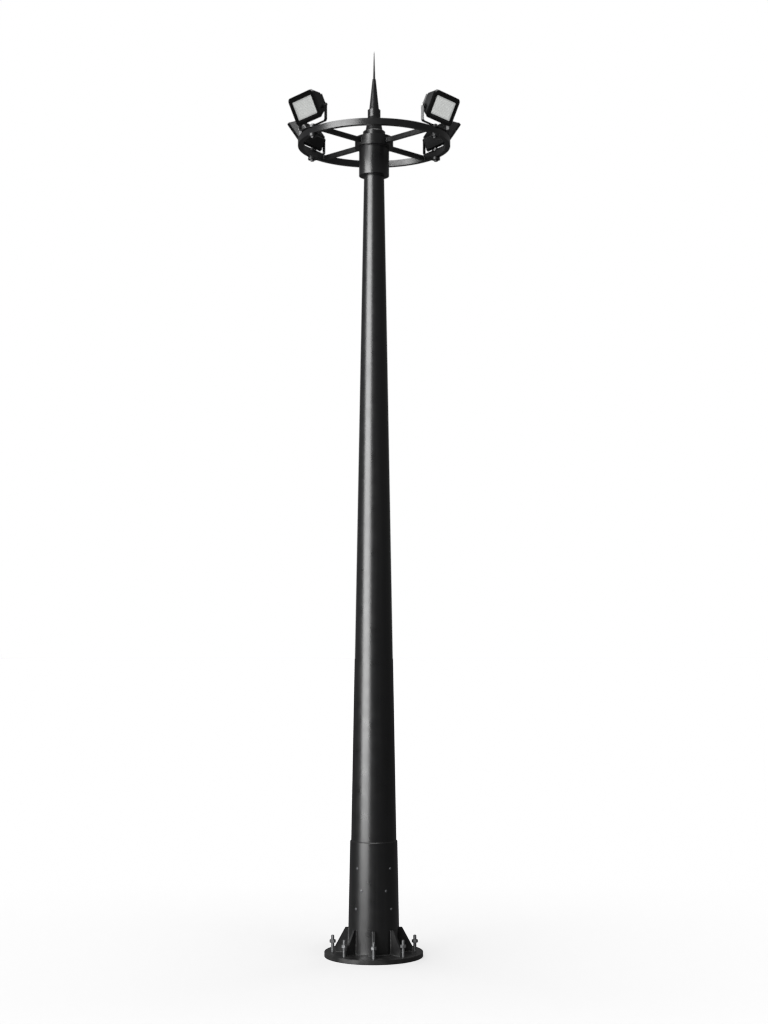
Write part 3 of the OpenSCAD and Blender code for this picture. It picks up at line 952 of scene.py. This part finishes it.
class TOWER_OT_stud_threads(TowerOperator):
    """Winds a thread on each anchor stud above the flange"""

    bl_idname = "tower.stud_threads"
    bl_label = "Stud threads"

    def build(self, sizes, looks):
        turn_steps = 16
        stand_out = 1.4 * MM
        sink = 0.4 * MM
        pitch = sizes.thread_pitch
        flange_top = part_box("base_flange")[1].z
        studs = solid_boxes("anchor_studs")
        low, high = studs[0]
        radius = (high.x - low.x) / 2
        foot = flange_top + 2 * MM
        turns = math.floor((high.z - foot - radius / 4) / pitch) - 1
        ridge = [(-sink, 0.12), (stand_out, 0.5), (-sink, 0.88)]
        thread = bmesh.new()
        verts = [thread.verts.new((radius + out, 0, foot + share * pitch)) for out, share in ridge]
        face = thread.faces.new(verts)
        bmesh.ops.spin(
            thread, geom=[face] + list(face.edges) + verts, cent=(0, 0, 0), axis=(0, 0, 1),
            dvec=(0, 0, pitch / turn_steps), angle=TURN * turns, steps=turns * turn_steps,
        )
        bmesh.ops.recalc_face_normals(thread, faces=thread.faces)
        unit = baked("stud_thread", thread)
        bm = bmesh.new()
        stamp(bm, unit, [
            Matrix.Translation(((low.x + high.x) / 2, (low.y + high.y) / 2, 0))
            for low, high in studs
        ])
        finish_piece("stud_threads", bm, "mast", [looks["anchor_zinc"]])


class TOWER_OT_base_welds(TowerOperator):
    """Lays the welds round the sleeve's foot and top, and along both sides of each gusset"""

    bl_idname = "tower.base_welds"
    bl_label = "Base welds"

    def build(self, sizes, looks):
        leg = sizes.base_weld
        flange_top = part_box("base_flange")[1].z
        gusset_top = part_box("gussets")[1].z
        sleeve = Cone("base_sleeve")
        shaft = Cone("mast_shaft")
        bm = bmesh.new()
        ring_bead(bm, sleeve.radius(flange_top), flange_top, leg, 1)
        ring_bead(bm, shaft.radius(sleeve.top), sleeve.top, leg / 2, 1)
        plates = solid_boxes("gussets")
        outline = bead_outline(leg * 0.8)
        up = Vector((0, 0, 1))
        for low, high in plates:
            middle = (low + high) / 2
            turn = Matrix.Rotation(math.atan2(middle.y, middle.x), 3, "Z")
            out = turn @ Vector((1, 0, 0))
            reach, half = self.plate_size(turn, low, high)
            for side in (-1, 1):
                face = turn @ Vector((0, side, 0))
                foot_in = out * sleeve.radius(flange_top) + face * half + up * flange_top
                foot_out = out * reach + face * half + up * flange_top
                top_in = out * sleeve.radius(gusset_top) + face * half + up * gusset_top
                straight_bead(bm, foot_in, foot_out, face, up, outline)
                straight_bead(bm, foot_in, top_in, face, out, outline)
        finish_piece("base_welds", bm, "mast", [looks["weld_coat"]])

    def plate_size(self, turn, low, high):
        """A gusset's reach from the axis and half its thickness."""
        into = turn.inverted()
        points = [
            into @ v.co for v in frame["nodes"]["gussets"].data.vertices
            if low.x - MERGE <= v.co.x <= high.x + MERGE
            and low.y - MERGE <= v.co.y <= high.y + MERGE
        ]
        return max(p.x for p in points), max(p.y for p in points if p.x > 0)


class TOWER_OT_head_welds(TowerOperator):
    """Lays the welds of the collar, the drum, the cap, the air terminal and the arms"""

    bl_idname = "tower.head_welds"
    bl_label = "Head welds"

    def build(self, sizes, looks):
        leg = sizes.head_weld
        shaft = Cone("mast_shaft")
        collar_low, collar_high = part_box("head_collar")
        bm = bmesh.new()
        ring_bead(bm, shaft.radius(collar_low.z), collar_low.z, leg, -1)
        ring_bead(bm, collar_high.x, collar_high.z, leg, -1)
        for node in ("head_cap", "spire_socket", "spire", "lightning_rod"):
            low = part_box(node)[0]
            small = leg if node != "lightning_rod" else leg / 2
            ring_bead(bm, radius_near(node, low.z), low.z, small, 1)
        drum_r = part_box("hub_drum")[1].x
        for corner in CORNERS:
            self.arm_welds(bm, f"arm_{corner}", drum_r, leg)
        finish_piece("head_welds", bm, "mast", [looks["weld_coat"]])

    def arm_welds(self, bm, node, drum_r, leg):
        """Four beads round each end of an arm."""
        low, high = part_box(node)
        middle = (low + high) / 2
        turn = Matrix.Rotation(math.atan2(middle.y, middle.x), 4, "Z")
        low, high = box_in(turn, node)
        half_w = high.y
        half_h = (high.z - low.z) / 2
        mid_z = (high.z + low.z) / 2
        ring_r = min(
            v.co.xy.length for v in frame["nodes"]["carrier_ring"].data.vertices
            if v.co.xy.length > high.x - leg
        )
        outline = bead_outline(leg)
        for reach, away in ((drum_r, 1), (ring_r, -1)):
            edge_x = math.sqrt(reach ** 2 - half_w ** 2)
            tall = Vector((0, 0, 2 * half_h))
            wide = Vector((0, 2 * half_w, 0))
            sides = [
                (Vector((edge_x, s * half_w, mid_z - half_h)), tall, Vector((0, s, 0)))
                for s in (-1, 1)
            ] + [
                (Vector((edge_x, -half_w, mid_z + s * half_h)), wide, Vector((0, 0, s)))
                for s in (-1, 1)
            ]
            back = Vector((away, 0, 0))
            spin = turn.to_3x3()
            for start, run, face in sides:
                straight_bead(
                    bm, spin @ start, spin @ (start + run), spin @ face, spin @ back, outline
                )


class TOWER_OT_shaft_seam(TowerOperator):
    """Lays the long seam down the back of the shaft and of the sleeve"""

    bl_idname = "tower.shaft_seam"
    bl_label = "Shaft seam"

    def build(self, sizes, looks):
        half = sizes.seam_width / 2
        crown = half / 3.5
        outline = [
            (-half, -BEAD_SINK), (half, -BEAD_SINK), (half * 0.6, crown * 0.75),
            (0, crown), (-half * 0.6, crown * 0.75),
        ]
        shaft = Cone("mast_shaft")
        sleeve = Cone("base_sleeve")
        across = Vector((1, 0, 0))
        out = Vector((0, 1, 0))
        collar_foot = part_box("head_collar")[0].z
        bm = bmesh.new()
        chamfer = 10 * MM
        runs = (
            (shaft, sleeve.top, collar_foot),
            (sleeve, sleeve.foot, sleeve.top - chamfer),
        )
        for cone, low, high in runs:
            foot = Vector((0, cone.radius(low), low))
            top = Vector((0, cone.radius(high), high))
            straight_bead(bm, foot, top, across, out, outline)
        finish_piece("shaft_seam", bm, "mast", [looks["weld_coat"]])


def domed_bolt(bm):
    """A round head with a washer, on its seat at the origin, along +Z, one unit across."""
    lathe(
        bm,
        [(0, 0), (0.62, 0), (0.62, 0.08), (0.5, 0.09), (0.5, 0.2), (0.44, 0.30), (0.30, 0.36),
         (0.2, 0.37), (0.2, 0.25), (0, 0.25)],
        20,
    )


class TOWER_OT_sleeve_bolt_heads(TowerOperator):
    """Puts a domed head and a washer in place of each plain bolt on the sleeve"""

    bl_idname = "tower.sleeve_bolt_heads"
    bl_label = "Sleeve bolt heads"

    def build(self, sizes, looks):
        bolts = solid_boxes("sleeve_bolts")
        unit = unit_mesh(domed_bolt)
        bm = bmesh.new()
        sleeve = Cone("base_sleeve")
        for low, high in bolts:
            middle = (low + high) / 2
            width = high.z - low.z
            turn = math.atan2(middle.y, middle.x)
            out = Matrix.Rotation(turn, 4, "Z")
            seat = sleeve.radius(middle.z) - 1 * MM
            stand = Matrix.Translation((seat, 0, middle.z)) @ Matrix.Rotation(math.pi / 2, 4, "Y")
            stamp(bm, unit, [out @ stand @ Matrix.Scale(width, 4)])
        # The domed heads take the lightened copy of the coat, a painted highlight.
        heads = finish_piece("sleeve_bolt_heads", bm, "mast", [looks["bolt_coat_painted_highlight"]])
        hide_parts("sleeve_bolts")


def led_dome(bm):
    """An LED lens one unit across: a low round dome on a square foot, along +X."""
    bmesh.ops.create_uvsphere(bm, u_segments=10, v_segments=6, radius=0.5)
    bmesh.ops.bisect_plane(
        bm, geom=bm.verts[:] + bm.edges[:] + bm.faces[:], plane_co=(0, 0, 0),
        plane_no=(0, 0, 1), clear_inner=True,
    )
    bmesh.ops.scale(bm, vec=(1, 1, 0.8), verts=bm.verts)
    bmesh.ops.holes_fill(bm, edges=bm.edges)
    bmesh.ops.rotate(bm, matrix=Matrix.Rotation(math.pi / 2, 3, "Y"), verts=bm.verts)


class TOWER_OT_led_boards(TowerOperator):
    """Fits a white board with rows of LED lenses and a sloped reflector behind each glass"""

    bl_idname = "tower.led_boards"
    bl_label = "LED boards"

    def build(self, sizes, looks):
        unit = unit_mesh(led_dome)
        board_t = 5 * MM
        edge_gap = 1 * MM
        slope = 16 * MM
        wall = 2 * MM
        for corner in CORNERS:
            place = lamp_place(corner)
            glass_low, glass_high = box_in(place, f"glass_{corner}")
            frame_low = box_in(place, f"frame_{corner}")[0]
            width = glass_high.y - glass_low.y - 2 * edge_gap
            height = glass_high.z - glass_low.z - 2 * edge_gap
            back = frame_low.x + 2 * MM
            front = glass_low.x - edge_gap
            bm = bmesh.new()
            corner_r = 22 * MM
            board = rounded_face(bm, back, width - 2 * wall, height - 2 * wall, corner_r)
            extrude_along(bm, [board], Vector((board_t, 0, 0)))
            self.reflector(bm, back + board_t, front, width, height, corner_r, slope, wall)
            columns, rows = sizes.led_columns, sizes.led_rows
            span_y = width - 2 * slope - 26 * MM
            span_z = height - 2 * slope - 26 * MM
            size = min(span_y / columns, span_z / rows) * 0.72
            places = [
                Matrix.Translation((
                    back + board_t,
                    span_y * ((i + 0.5) / columns - 0.5),
                    span_z * ((k + 0.5) / rows - 0.5),
                )) @ Matrix.Scale(size, 4)
                for i in range(columns) for k in range(rows)
            ]
            known = len(bm.faces)
            stamp(bm, unit, places)
            bm.faces.ensure_lookup_table()
            for face in bm.faces[known:]:
                face.material_index = 1
            bmesh.ops.transform(bm, matrix=place, verts=bm.verts)
            finish_piece(
                f"led_board_{corner}", bm, f"head_{corner}",
                [looks["white_board_painted_glow"], looks["led_lens"]],
            )

    def reflector(self, bm, back, front, width, height, radius, slope, wall):
        """A thin white frame that slopes in from behind the glass to the board."""
        rounded_ring(
            bm, width, height, radius,
            [(front, 0), (front, wall), (back, wall + slope), (back, slope)],
        )


class TOWER_OT_gaskets(TowerOperator):
    """Beds a rubber gasket round the front of each glass"""

    bl_idname = "tower.gaskets"
    bl_label = "Glass gaskets"

    def build(self, sizes, looks):
        width = 7 * MM
        proud = 3 * MM
        soft = 1.2 * MM
        for corner in CORNERS:
            place = lamp_place(corner)
            low, high = box_in(place, f"glass_{corner}")
            bm = bmesh.new()
            foot = high.x + 0.2 * MM
            rounded_ring(bm, high.y - low.y, high.z - low.z, 23 * MM, [
                (foot, 0), (foot + proud - soft, 0), (foot + proud, soft),
                (foot + proud, width - soft), (foot + proud - soft, width), (foot, width),
            ])
            bmesh.ops.transform(bm, matrix=place, verts=bm.verts)
            finish_piece(
                f"gasket_{corner}", bm, f"head_{corner}", [looks["gasket_rubber"]]
            )


def socket_screw(bm):
    """A cap screw with a round socket, on its seat at the origin, along +Z, one unit across."""
    lathe(
        bm,
        [(0, -0.1), (0.5, -0.1), (0.5, 0.3), (0.44, 0.38), (0.27, 0.38), (0.22, 0.12), (0, 0.12)],
        16,
    )


class TOWER_OT_frame_screws(TowerOperator):
    """Sets the screws that clamp each front frame"""

    bl_idname = "tower.frame_screws"
    bl_label = "Frame screws"

    def build(self, sizes, looks):
        unit = unit_mesh(socket_screw)
        size = 18 * MM
        for corner in CORNERS:
            place = lamp_place(corner)
            high = box_in(place, f"frame_{corner}")[1]
            glass_high = box_in(place, f"glass_{corner}")[1]
            mid_y = (high.y + glass_high.y) / 2 + 12 * MM
            mid_z = (high.z + glass_high.z) / 2 + 12 * MM
            spots = [(y * mid_y * 0.86, z * mid_z) for y in (-1, -1 / 3, 1 / 3, 1) for z in (-1, 1)]
            spots += [(y * mid_y, z * mid_z * 0.45) for y in (-1, 1) for z in (-1, 1)]
            face_on = Matrix.Rotation(math.pi / 2, 4, "Y")
            bm = bmesh.new()
            stamp(bm, unit, [
                place @ Matrix.Translation((high.x, y, z)) @ face_on @ Matrix.Scale(size, 4)
                for y, z in spots
            ])
            finish_piece(
                f"frame_screws_{corner}", bm, f"head_{corner}",
                [looks["stainless"]],
            )


OPERATORS = (
    TOWER_OT_mast_finish, TOWER_OT_base_finish, TOWER_OT_lamp_finish,
    TOWER_OT_stud_threads, TOWER_OT_base_welds, TOWER_OT_head_welds, TOWER_OT_shaft_seam,
    TOWER_OT_sleeve_bolt_heads, TOWER_OT_led_boards, TOWER_OT_gaskets, TOWER_OT_frame_screws,
    TOWER_OT_stage,
)


class TOWER_PT_panel(bpy.types.Panel):
    """Lists the settings and the steps of the tower"""

    bl_label = "Floodlight tower"
    bl_idname = "TOWER_PT_panel"
    bl_space_type = "VIEW_3D"
    bl_region_type = "UI"
    bl_category = "Floodlight tower"

    def draw(self, context):
        scene = context.scene
        for settings in (scene.tower_stage, scene.tower_finish, scene.tower_details):
            box = self.layout.box()
            for name in settings.__annotations__:
                box.prop(settings, name)
        for operator in OPERATORS:
            self.layout.operator(operator.bl_idname)


CLASSES = (TowerFinish, TowerDetails, TowerStage, *OPERATORS, TOWER_PT_panel)


def register():
    for cls in CLASSES:
        bpy.utils.register_class(cls)
    bpy.types.Scene.tower_finish = bpy.props.PointerProperty(type=TowerFinish)
    bpy.types.Scene.tower_details = bpy.props.PointerProperty(type=TowerDetails)
    bpy.types.Scene.tower_stage = bpy.props.PointerProperty(type=TowerStage)


def unregister():
    del bpy.types.Scene.tower_stage
    del bpy.types.Scene.tower_details
    del bpy.types.Scene.tower_finish
    for cls in reversed(CLASSES):
        bpy.utils.unregister_class(cls)


def main():
    """Builds everything round the frame."""
    register()
    for operator in OPERATORS:
        family, step = operator.bl_idname.split(".")
        getattr(getattr(bpy.ops, family), step)()


if __name__ == "__main__":
    main()
